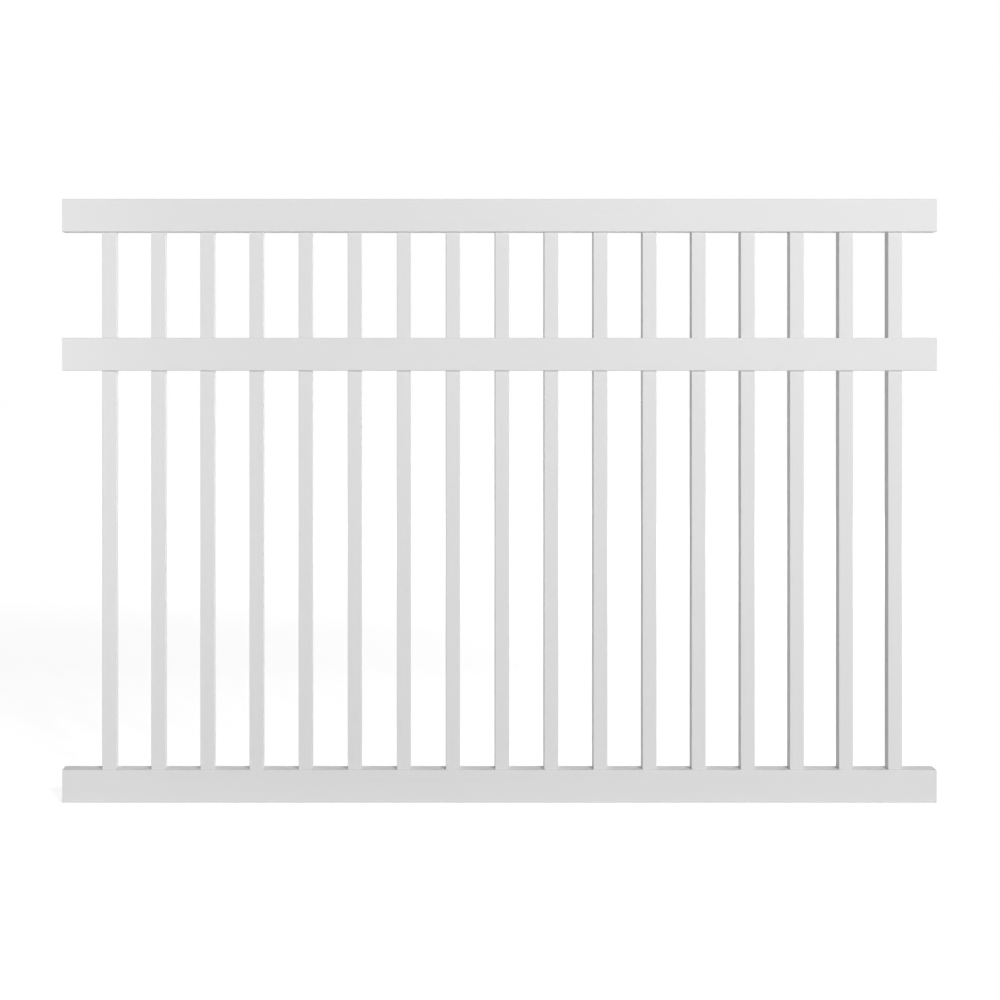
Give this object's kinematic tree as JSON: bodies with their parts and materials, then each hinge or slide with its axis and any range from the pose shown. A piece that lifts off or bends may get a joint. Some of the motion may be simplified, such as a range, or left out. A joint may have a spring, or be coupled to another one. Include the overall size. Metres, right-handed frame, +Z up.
{
  "type": "vinyl pool fence panel",
  "caption": "White vinyl fence panel: hollow horizontal rails routed for a row of slim square pickets with open gaps, made to close off a pool between two posts.",
  "frame": {"origin": "middle of the bottom rail's underside", "axes": "+X along the rails, to the right as seen from the front; +Y through the panel from its front to its back; +Z up along the pickets"},
  "size_m": [2.362, 0.0508, 1.631],
  "materials": {
    "white_vinyl": "satin extruded PVC"
  },
  "bodies": {
    "root": {"top_rail": "white_vinyl", "middle_rail": "white_vinyl", "bottom_rail": "white_vinyl", "picket_01": "white_vinyl", "picket_02": "white_vinyl", "picket_03": "white_vinyl", "picket_04": "white_vinyl", "picket_05": "white_vinyl", "picket_06": "white_vinyl", "picket_07": "white_vinyl", "picket_08": "white_vinyl", "picket_09": "white_vinyl", "picket_10": "white_vinyl", "picket_11": "white_vinyl", "picket_12": "white_vinyl", "picket_13": "white_vinyl", "picket_14": "white_vinyl", "picket_15": "white_vinyl", "picket_16": "white_vinyl", "picket_17": "white_vinyl"}
  },
  "joints": []
}
